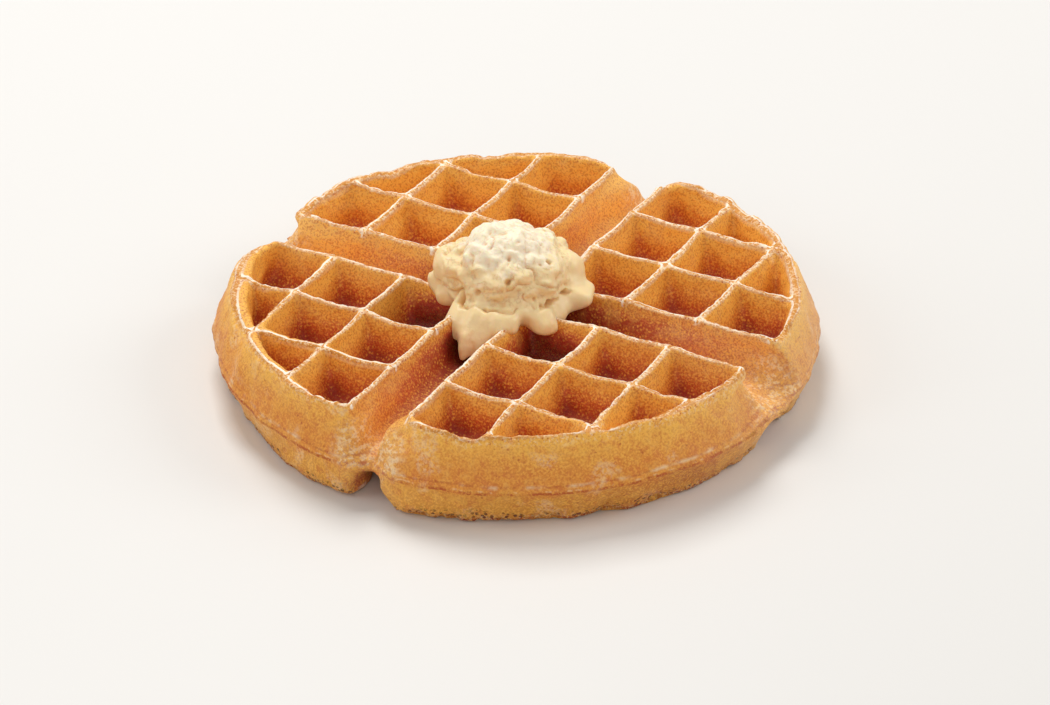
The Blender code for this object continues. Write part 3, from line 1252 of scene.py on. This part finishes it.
    def _wandered(self, skin: Skin) -> np.ndarray:
        """The sideways straying of ribs, none at the feet of the walls.

        Args:
            skin: The corners before they were worked.

        Returns:
            One row of three lengths for each corner.
        """
        share = self.wander * ease(13.0, 2.0, skin.depth)
        strays = [share * Grain(15.0, seed).at(skin.points) for seed in (2.2, 7.9)]
        return np.stack([*strays, np.zeros(len(skin.points))], axis=1)

    def _slimmed(self, skin: Skin) -> np.ndarray:
        """The drawing in of rib tops towards their middles.

        Args:
            skin: The corners before they were worked.

        Returns:
            One row of three lengths for each corner.
        """
        share = ease(9.0, 1.0, skin.depth) * self.slim * (1.0 + 0.7 * Grain(9.0, 4.7).at(skin.points))
        aside = np.zeros_like(skin.points)
        for axis in Axis:
            past = self.grid.past_rib(skin.points[:, axis.value])
            sideways = np.clip(past / (0.5 * self.grid.rib), -1.0, 1.0)
            aside[:, axis.value] = -share * sideways * ease(8.0, 3.5, np.abs(past))
        return aside

    def _swollen(self, skin: Skin) -> np.ndarray:
        """The bulging of walls and sides.

        Args:
            skin: The corners before they were worked.

        Returns:
            One length for each corner, outwards.
        """
        broad = Grain(8.5, 1.4).at(skin.points) * ease(0.5, 3.0, skin.depth)
        fine = Grain(2.6, 6.1).at(skin.points)
        return self.swell * (1.0 + 0.8 * skin.outer) * broad + self.grit * fine

    def _nicked(self, skin: Skin) -> np.ndarray:
        """The roughness of rib tops and the small bites along the rim.

        Args:
            skin: The corners before they were worked.

        Returns:
            One length for each corner, outwards.
        """
        rough = self.crumbs * Grain(1.6, 4.4, 2).at(skin.points)
        nick = self.nick * ease(0.1, 0.5, Grain(3.4, 8.8).at(skin.points))
        return ease(2.4, 0.6, skin.depth) * (rough - nick * ease(60.0, 80.0, skin.radius))

    def _worn(self, points: np.ndarray, skin: Skin) -> np.ndarray:
        """The points with the bites, pits and worn stretches of the lower edge.

        Args:
            points: The corners where they are now, which it moves.
            skin: The corners before they were worked.

        Returns:
            The moved corners.
        """
        height = self.grid.height(points)
        _, turn = polar(points)
        deep, half = self.bite
        bitten = sum(bump_at(turn_gap(turn, at), 0.0, half) for at in self.bites)
        points -= skin.normals * (deep * bitten * ease(4.5, 1.0, height) * skin.outer)[:, None]
        low = ease(9.0, 2.0, height) * skin.outer
        at = low > 0.02
        pits, ragged, worn = self.wear
        hole = ease(0.42, 0.15, Grain(2.1, 3.9).nearest(points[at]))
        loss = pits * hole * ease(-0.1, 0.3, Grain(9.0, 2.7).at(points[at]))
        loss += ragged * Grain(6.0, 6.6, 3).at(points[at])
        loss += worn * ease(0.1, 0.5, Grain(7.0, 1.9).at(points[at])) * ease(3.5, 0.5, height[at])
        points[at] -= skin.normals[at] * (low[at] * loss)[:, None]
        return points

    # What the finish reads at each corner.

    def _notes(self, mesh: bpy.types.Mesh, skin: Skin) -> dict[str, np.ndarray]:
        """Works out what the finish reads.

        Args:
            mesh: The worked mesh.
            skin: Its corners before they were worked.

        Returns:
            One number for each corner under each name.
        """
        groove = ease(self.grid.first + 4.0, self.grid.first - 1.0, skin.beside)
        lip = 0.9 * ease(69.0, 80.0, skin.radius) * ease(2.0, 7.0, skin.depth) * groove * (skin.seam > -0.5)
        at, spread = self.toasted
        toast = bump_at(turn_gap(skin.turn, at), 0.0, spread) * ease(1.5, -1.5, skin.seam)
        return {
            "depth": skin.depth,
            "outer": skin.outer,
            "seam": skin.seam,
            "lip": lip,
            "toast": toast,
            "brown": self._browned_and_shaded(skin),
            "pallor": self._paled_and_lit(skin, groove, lip),
            "crest": self._inside_crest(skin),
            "far": self._frost_and_highlight(skin),
            "bare": self._bared(skin),
            "edge": self._edge_highlight(mesh, skin),
        }

    def _browned_and_shaded(self, skin: Skin) -> np.ndarray:
        """How brown each place is, from baking and painted shade: most at the feet of the pockets, less
        facing +X and at the back.

        Args:
            skin: The corners before they were worked.

        Returns:
            One number for each corner, about 0 to 1.
        """
        points, depth, radius = skin.points, skin.depth, skin.radius
        corner = np.ones(len(points))
        for axis in Axis:
            corner *= bump_at(self.grid.off_rib(points[:, axis.value]), 1.3, 6.5)
        # Browner deeper down and in the pockets' corners: partly baking, partly painted shade where the
        # pockets are deep and narrow.
        pocket = 0.04 + 0.55 * ease(1.0, 13.0, depth) + 0.4 * corner * ease(2.0, 9.0, depth)
        pocket += 0.2 * ease(8.5, 13.0, depth)
        # Painted light and shade: walls facing +X, towards the right-hand lamp, are paler, and walls facing
        # -Y, away from the key light, are browner.
        pocket -= 0.16 * np.clip(skin.normals[:, 0], 0.0, 1.0) + 0.1 * np.clip(skin.normals[:, 1], -1.0, 0.0)
        pocket -= 0.3 * ease(-20.0, 50.0, points[:, 1] - 0.4 * points[:, 0])
        underneath = ease(0.5, -1.5, self.grid.height(points) - self.grid.seam)
        # Grooves browner deeper down and towards the middle: partly baking, partly painted shade.
        groove = 0.2 + 0.4 * ease(0.5, 6.0, depth) * ease(84.0, 50.0, radius)
        groove += 0.3 * ease(60.0, 25.0, radius) * ease(2.0, 6.0, depth)
        # The grooves under the seam are browner: painted shade where they open under the waffle.
        groove += 0.35 * underneath - 0.35 * ease(8.0, 40.0, points[:, 1] - points[:, 0])
        # Browner round the butter and in front of it: partly grease, partly the butter's painted shadow.
        grease_and_shadow = ease(35.0, 24.0, radius) * ease(1.0, 5.0, depth) * ease(2.0, -10.0, points[:, 1])
        browned = np.where(skin.beside < self.grid.first - 0.5, groove, pocket)
        return browned + 0.65 * grease_and_shadow * (1.0 - underneath)

    def _paled_and_lit(self, skin: Skin, groove: np.ndarray, lip: np.ndarray) -> np.ndarray:
        """How far each place is paler than the rest of its wall; on the outer wall away from the front this
        is painted light.

        Args:
            skin: The corners before they were worked.
            groove: How far each corner is in a groove.
            lip: How far it is on a groove's lip.

        Returns:
            One share for each corner.
        """
        across, along = skin.points[:, 0], skin.points[:, 1]
        # The outer wall away from the front is paler: painted light where the key and side lamps fall.
        back_wall = ease(55.0, 110.0, turn_gap(skin.turn, 265.0)) * skin.outer
        back = 0.6 * ease(8.0, 40.0, along - across) * groove
        front = 0.3 * ease(-25.0, -60.0, along - 0.4 * across) * groove
        right = 0.9 * ease(30.0, 62.0, across) * groove
        return np.maximum.reduce([back_wall, back, front, right, 0.6 * lip])

    def _inside_crest(self, skin: Skin) -> np.ndarray:
        """How far inside the edges of a rib or the rim each point is from above, below 0 outside.

        Args:
            skin: The corners before they were worked.

        Returns:
            One distance for each corner.
        """
        ribs = [self.grid.rib / 2.0 - self.grid.off_rib(skin.points[:, axis.value]) for axis in Axis]
        mouth, brim = self.mouth
        return np.minimum(np.maximum.reduce([*ribs, skin.radius - mouth]), brim - skin.radius)

    def _frost_and_highlight(self, skin: Skin) -> np.ndarray:
        """How pale each crest's edge is, part frosting and part painted highlight: most towards -X and +Y,
        and inside the rim at the front.

        Args:
            skin: The corners before they were worked.

        Returns:
            One share for each corner.
        """
        # Painted highlight, partly frosting, on edges that face the key light: inside the rim at the front,
        # outside it at the back, and on ribs towards -X and +Y.
        front = ease(-30.0, 30.0, skin.points @ np.array(self.front))
        inner = skin.radius < sum(self.mouth) / 2.0
        frost_and_highlight = np.where(inner, front, 0.8 - 0.8 * front) * (skin.radius > self.mouth[0] - 0.5)
        frost_and_highlight = np.maximum(frost_and_highlight, 0.15)
        for axis, side in zip(Axis, (-1.0, 1.0)):
            past = self.grid.past_rib(skin.points[:, axis.value])
            on = np.abs(past) < 0.5 * self.grid.rib + 0.5
            frost_and_highlight = np.maximum(frost_and_highlight, on * ease(-0.2, 0.5, side * past))
        return frost_and_highlight

    def _bared(self, skin: Skin) -> np.ndarray:
        """How bare of frosting a crest is: ribs along Y least, ribs along X more and the rim most.

        Args:
            skin: The corners before they were worked.

        Returns:
            One share for each corner.
        """
        half = 0.5 * self.grid.rib
        ribs = 0.55 * ease(half - 0.5, half + 0.5, self.grid.off_rib(skin.points[:, 0]))
        rim = 0.7 * ease(self.mouth[0] - 0.3, self.mouth[0] + 1.2, skin.radius)
        return np.maximum(ribs, rim)

    def _edge_highlight(self, mesh: bpy.types.Mesh, skin: Skin) -> np.ndarray:
        """Where the worked mesh is sharpest on the upper outer wall, as at the quarters' corners, for a pale
        line that is partly a painted highlight.

        Args:
            mesh: The worked mesh.
            skin: The corners before they were worked.

        Returns:
            One share for each corner.
        """
        sharp = ease(0.06, 0.14, -Piece.bend(mesh, 4))
        upper = self.grid.height(skin.points) > self.grid.seam + 1.0
        return sharp * ease(79.0, 83.0, skin.radius) * ease(1.0, 2.5, skin.depth) * upper

    def _thin(self, piece: bpy.types.Object) -> None:
        """Brings the mesh under its budget, mostly on the underside, and sets it down at height 0.

        Args:
            piece: The crust, which it changes.
        """
        triangles = self._triangles(piece)
        group = piece.vertex_groups.new(name="underside")
        low = Piece.points(piece.data)[:, 2] < self.grid.seam - 2.0
        for chosen, weight in ((low, 1.0), (~low, 0.25)):
            group.add(np.flatnonzero(chosen).tolist(), weight, "REPLACE")
        modifier = piece.modifiers.new("thin", "DECIMATE")
        modifier.ratio = min(1.0, self.most_triangles / triangles)
        modifier.vertex_group = group.name
        modifier.vertex_group_factor = 1.0
        Piece.applied(piece)
        settled = Piece.points(piece.data)
        settled[:, 2] -= settled[:, 2].min()
        Piece.move_to(piece.data, settled)
        log.info("crust thinned from %d to %d triangles", triangles, self._triangles(piece))

    @staticmethod
    def _triangles(piece: bpy.types.Object) -> int:
        """How many triangles a piece's faces make."""
        return sum(len(face.vertices) - 2 for face in piece.data.polygons)


# ---------------------------------------------------------------------------------------------------
# The butter
# ---------------------------------------------------------------------------------------------------


@dataclass(frozen=True)
class Lobe:
    """A tongue of melted butter in the skirt's outline.

    Attributes:
        turn: Its direction from above, in degrees from +X.
        spread: Half its width as seen from the scoop's middle, in degrees.
        reach: How far it stands out from the plain skirt, or in below 0.
        fall: How far its lip hangs below the plain skirt's.
    """

    turn: float
    spread: float
    reach: float
    fall: float


@dataclass(frozen=True)
class Ball:
    """One round lump of butter.

    Attributes:
        turn: Its way out from the scoop's middle, in degrees from +X.
        out: How far out its own middle is.
        height: How far that is above the rib tops.
        radii: Half its width along X, Y and Z.
    """

    turn: float
    out: float
    height: float
    radii: tuple[float, float, float]


@dataclass
class ButterScoop:
    """A crumbly ball of whipped butter on a melting skirt.

    Attributes:
        grid: Where the waffle's ribs run.
        finish: What the butter looks like.
        voxel: The size of the fused skin's faces.
        middle: Where the scoop stands, from the grid's middle.
        balls: The scoop itself and the shoulders beside it.
        skirt: The plain skirt's radius and half its thickness.
        skirt_height: The height of the skirt's middle and the height of its lip.
        fullness: How round the skirt's edge is: 1 for a plain lens, less for a fuller hem.
        crease: The radius and the height of the crease between ball and skirt.
        lobes: The tongues and bays in the skirt's outline.
        front: The turn that the crease's crack faces.
        swell: How far the cap's broad swells stand out.
        smear: How far its smears do.
        lump: How far its rounded lumps do.
        fold: How deep its folds are.
        crumb: How far its crumbs stand out.
        pit: How deep its pits are.
        settling: How far the whole cap is drawn in.
        ripple: How far the melted skirt's ripples stand out.
        crack: How deep the crease's crack is.
    """

    grid: Lattice
    finish: ButterFinish
    voxel: float = 0.42
    middle: tuple[float, float] = (-1.5, -2.0)
    balls: tuple[Ball, ...] = (
        Ball(20.0, 0.8, 4.0, (17.2, 17.2, 16.2)),
        Ball(188.0, 12.0, 6.8, (10.6, 11.5, 7.6)),
        Ball(150.0, 10.5, 2.0, (12.5, 12.5, 11.0)),
        Ball(110.0, 8.5, 3.0, (12.5, 12.5, 11.5)),
        Ball(72.0, 12.8, 5.0, (9.0, 9.4, 8.0)),
        Ball(44.0, 16.5, 3.6, (7.5, 7.5, 7.5)),
        Ball(36.0, 15.0, 1.5, (8.5, 8.5, 6.5)),
        Ball(220.0, 8.5, 3.0, (9.5, 9.5, 7.0)),
    )
    skirt: tuple[float, float] = (21.0, 5.4)
    skirt_height: tuple[float, float] = (-0.2, -1.7)
    fullness: float = 0.8
    crease: tuple[float, float] = (17.4, 3.4)
    lobes: tuple[Lobe, ...] = (
        Lobe(249.0, 8.0, 2.0, 1.5),
        Lobe(264.0, 11.0, 3.4, 3.8),
        Lobe(273.0, 8.0, 3.8, 4.6),
        Lobe(282.0, 6.0, 0.6, 3.2),
        Lobe(287.0, 9.0, 3.2, 0.0),
        Lobe(301.0, 7.0, 2.0, -1.2),
        Lobe(314.0, 6.0, -1.6, -3.6),
        Lobe(331.0, 9.0, 3.6, 0.4),
        Lobe(347.0, 8.0, 0.4, 1.2),
        Lobe(19.0, 12.0, 4.8, -1.6),
        Lobe(36.0, 8.0, 3.4, -0.8),
        Lobe(200.0, 6.0, 3.2, -4.6),
        Lobe(229.0, 10.0, -5.0, -1.0),
    )
    front: float = 300.0
    swell: float = 1.8
    smear: float = 1.2
    lump: float = 1.7
    fold: float = 0.8
    crumb: float = 0.12
    pit: float = 1.1
    settling: float = 0.6
    ripple: float = 0.7
    crack: float = 2.5

    def build(self) -> bpy.types.Object:
        """Makes the dressed scoop.

        Returns:
            The finished piece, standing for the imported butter.
        """
        piece = Piece.link(self._blobs(), "butter_scoop")
        Piece.remeshed(piece, self.voxel)
        Piece.calmed(piece.data, np.ones(len(piece.data.vertices), bool), 14)
        self._shape(piece.data)
        Piece.finished(piece, self.finish.material())
        log.info("butter: %d corners", len(piece.data.vertices))
        return piece

    def _blobs(self) -> bmesh.types.BMesh:
        """The overlapping balls of the scoop, and its skirt, ready to be fused.

        Returns:
            The shapes, from the grid's middle.
        """
        bm = bmesh.new()
        for ball in self.balls:
            angle = math.radians(ball.turn)
            x, y = self.middle
            at = Vector((x + ball.out * math.cos(angle), y + ball.out * math.sin(angle), ball.height))
            place = Matrix.Translation(at) @ Matrix.Diagonal((*ball.radii, 1.0))
            bmesh.ops.create_icosphere(bm, subdivisions=5, radius=1.0, matrix=place)
        lens = bmesh.ops.create_uvsphere(bm, u_segments=180, v_segments=48, radius=1.0)["verts"]
        for vert in lens:
            vert.co = self._skirt_point(vert.co)
        return bm

    def _skirt_point(self, unit: Vector) -> Vector:
        """Where a point of a ball of radius 1 goes in the skirt.

        Args:
            unit: The point on the ball.

        Returns:
            The point on the lobed skirt, which hangs towards its lip.
        """
        turn = math.degrees(math.atan2(unit.y, unit.x)) % 360.0
        radius, half = self.skirt
        middle, lip = self.skirt_height
        fall = 0.0
        for lobe in self.lobes:
            share = math.exp(-((turn_gap(turn, lobe.turn) / lobe.spread) ** 4))
            radius += lobe.reach * share
            fall += lobe.fall * share
        out = math.hypot(unit.x, unit.y)
        full = out**self.fullness / max(out, 0.001)
        rise = math.copysign(abs(unit.z) ** self.fullness, unit.z)
        hang = max(0.0, (out**self.fullness - 0.66) / 0.34) ** 1.6
        height = middle + (lip - middle - fall) * hang + half * rise
        x, y = self.middle
        return Vector((x + radius * full * unit.x, y + radius * full * unit.y, height))

    def _shape(self, mesh: bpy.types.Mesh) -> None:
        """Roughens the ball, cracks it, opens the crease above the skirt and notes what the finish reads.

        Args:
            mesh: The butter's mesh, from the grid's middle, which ends in the part's frame.
        """
        points = Piece.points(mesh)
        cap, crack = self._parted(points)
        warp = np.stack([Grain(7.0, seed).at(points) for seed in (1.3, 6.4, 8.1)], axis=1)
        bent = points + 1.5 * warp
        smears = Grain(4.6, 2.3, 2).at(bent * np.array([0.8, 0.8, 1.2]))
        pit = ease(0.3, 0.12, Grain(4.6, 8.4).nearest(points)) * ease(0.0, 0.3, Grain(6.0, 4.9).at(points))
        push = self._whipped(points, bent) + self.smear * smears - self.pit * pit
        melted = self.ripple * Grain(6.0, 9.9).at(points) + 0.25 * smears
        push = push * cap + melted * (1.0 - cap) - self.crack * crack
        Piece.move_to(mesh, self.grid.placed(points + Piece.normals(mesh) * push[:, None]))
        # The hollows are noted for the finish's painted shade.
        hollow = ease(0.03, 0.22, Piece.bend(mesh, 3)) * (0.3 + 0.7 * cap)
        Piece.note(mesh, "hollow", np.maximum.reduce([0.7 * hollow, crack, 0.8 * pit * cap]))
        Piece.note(mesh, "melt", 1.0 - cap)

    def _parted(self, points: np.ndarray) -> tuple[np.ndarray, np.ndarray]:
        """Tells the whipped cap from the melted skirt.

        Args:
            points: The corners, from the grid's middle.

        Returns:
            How far each corner belongs to the cap, and how deep in the crack it is, both from 0 to 1.
        """
        radius, turn = polar(points[:, :2] - np.array(self.middle))
        front = ease(115.0, 95.0, turn_gap(turn, self.front))
        wander = 1.8 * Grain(6.0, 7.7).at(points) + 0.9 * Grain(1.9, 3.1).at(points)
        above = points[:, 2] - self.crease[1] - wander
        beyond = radius - self.crease[0]
        cap = ease(-0.4, 0.5, above) * (1.0 - front * ease(0.9, 1.9, beyond + 0.5 * wander))
        crack = bump_at(above, 0.0, 0.55) * bump_at(beyond, 0.2, 1.8) * front
        return cap, crack * ease(-0.35, 0.1, Grain(6.0, 2.2).at(points))

    def _whipped(self, points: np.ndarray, bent: np.ndarray) -> np.ndarray:
        """The relief of the whipped cap: swells, rounded lumps, folds and crumbs.

        Args:
            points: The corners, from the grid's middle.
            bent: The same corners, warped so that no lump looks regular.

        Returns:
            How far each corner stands out.
        """
        swells = Grain(9.0, 3.6, 2).at(bent)
        lumps = np.abs(Grain(7.5, 1.1).at(bent)) + 0.25 * np.abs(Grain(3.2, 4.4).at(bent))
        folds = np.clip(1.0 - 7.0 * np.abs(Grain(8.5, 7.1, 2).at(bent)), 0.0, 1.0)
        folds *= ease(-0.2, 0.25, Grain(9.0, 6.1).at(points))
        crumbs = Grain(1.5, 5.2, 2).at(points)
        relief = self.swell * swells + self.lump * lumps - self.fold * folds + self.crumb * crumbs
        return relief - self.settling


# ---------------------------------------------------------------------------------------------------
# The studio
# ---------------------------------------------------------------------------------------------------


def outlook(turn: float, rise: float) -> tuple[Vector, Matrix]:
    """Where a camera or a lamp stands, and how it is turned to look back.

    Args:
        turn: Its way round the part, in degrees from -Y towards +X.
        rise: Its height above the horizon, in degrees.

    Returns:
        The direction towards it, of length 1, and the rotation that makes it look back along that.
    """
    around, up = math.radians(turn), math.radians(rise)
    flat = math.cos(up)
    towards = Vector((math.sin(around) * flat, -math.cos(around) * flat, math.sin(up)))
    return towards, (-towards).to_track_quat("-Z", "Y").to_matrix().to_4x4()


@dataclass(frozen=True)
class Viewpoint:
    """The camera: where it looks, from how far and how steeply.

    Attributes:
        aim: The point it looks at, from the grid's middle at the level of the rib tops.
        turn: Its way round the part, in degrees from -Y towards +X.
        rise: Its height above the horizon, in degrees.
        distance: How far it is from the aim.
        lens: Its focal length, in millimetres.
        roll: Its tilt about its own axis, in radians.
        sensor: The sensor's width, in millimetres.
        clip: The nearest and the farthest distance that it sees, in metres.
    """

    aim: tuple[float, float] = (20.81, -31.25)
    turn: float = 29.6
    rise: float = 30.85
    distance: float = 1299.7
    lens: float = 154.29
    roll: float = 0.0143
    sensor: float = 36.0
    clip: tuple[float, float] = (0.05, 50.0)

    def build(self, grid: Lattice) -> bpy.types.Object:
        """Makes the camera and puts it to use.

        Args:
            grid: The lattice that the aim is measured from.

        Returns:
            The camera.
        """
        towards, facing = outlook(self.turn, self.rise)
        aim = Vector((grid.x + self.aim[0], grid.y + self.aim[1], grid.crest))
        camera = bpy.data.objects.new("camera", bpy.data.cameras.new("camera"))
        camera.data.lens = self.lens
        camera.data.sensor_width = self.sensor
        camera.data.clip_start, camera.data.clip_end = self.clip
        place = Matrix.Translation((aim + towards * self.distance) * MM)
        camera.matrix_world = place @ facing @ Matrix.Rotation(-self.roll, 4, "Z")
        bpy.context.scene.collection.objects.link(camera)
        bpy.context.scene.camera = camera
        return camera


@dataclass(frozen=True)
class SoftBox:
    """A square area light.

    Attributes:
        name: The light's name.
        turn: Its way round the part, in degrees from -Y towards +X.
        rise: Its height above the horizon, in degrees.
        distance: How far it is, in metres.
        side: Its width, in metres.
        power: Its strength, in watts.
        colour: Its tint.
    """

    name: str
    turn: float
    rise: float
    distance: float
    side: float
    power: float
    colour: tuple[float, float, float] = (1.0, 1.0, 1.0)

    def build(self) -> bpy.types.Object:
        """Makes the light, facing the part's origin.

        Returns:
            The light.
        """
        data = bpy.data.lights.new(self.name, "AREA")
        data.energy = self.power
        data.size = self.side
        data.color = self.colour
        towards, facing = outlook(self.turn, self.rise)
        light = bpy.data.objects.new(self.name, data)
        light.matrix_world = Matrix.Translation(towards * self.distance) @ facing
        bpy.context.scene.collection.objects.link(light)
        return light


@dataclass(frozen=True)
class Studio:
    """A pale floor under soft light.

    Attributes:
        floor_side: The floor's width, in metres.
        sky: The tint of the light from all round.
        sky_strength: The strength of that light.
        boxes: The lamps.
    """

    floor_side: float = 6.0
    sky: tuple[float, float, float] = (1.0, 0.99, 0.975)
    sky_strength: float = 0.38
    boxes: tuple[SoftBox, ...] = (
        SoftBox("key_above_behind", 226.0, 56.0, 1.6, 0.7, 16.0, (1.0, 0.985, 0.96)),
        SoftBox("side_left", -52.0, 32.0, 1.6, 0.9, 5.0, (1.0, 0.98, 0.95)),
        SoftBox("side_right", 126.0, 34.0, 1.6, 0.9, 8.0, (1.0, 0.98, 0.95)),
        SoftBox("fill_front", 25.0, 30.0, 1.8, 1.0, 4.7, (1.0, 0.92, 0.82)),
    )

    def build(self) -> None:
        """Makes the floor, the sky and the lights."""
        bm = bmesh.new()
        bmesh.ops.create_grid(bm, x_segments=1, y_segments=1, size=self.floor_side / 2)
        floor = Piece.link(bm, "floor")
        floor.data.materials.append(FloorFinish().material())
        world = bpy.data.worlds.new("soft_sky")
        world.use_nodes = True
        background = world.node_tree.nodes["Background"]
        background.inputs["Color"].default_value = (*self.sky, 1.0)
        background.inputs["Strength"].default_value = self.sky_strength
        bpy.context.scene.world = world
        for box in self.boxes:
            box.build()
        bpy.context.scene.view_settings.view_transform = "Standard"


# ---------------------------------------------------------------------------------------------------
# The whole
# ---------------------------------------------------------------------------------------------------


def main() -> None:
    """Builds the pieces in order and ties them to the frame."""
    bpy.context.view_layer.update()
    grid = Lattice.from_record(frame["record"])
    crust = WaffleCrust(grid, CrustFinish()).build()
    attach(crust, "root")
    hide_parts("waffle")
    log.info("crust: %d faces", len(crust.data.polygons))
    butter = ButterScoop(grid, ButterFinish()).build()
    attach(butter, "root")
    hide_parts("butter")
    log.info("butter: %d faces", len(butter.data.polygons))
    Viewpoint().build(grid)
    Studio().build()
    log.info("camera and studio in place")


if __name__ == "__main__":
    logging.basicConfig(level=logging.INFO, format="%(name)s: %(message)s")
    main()
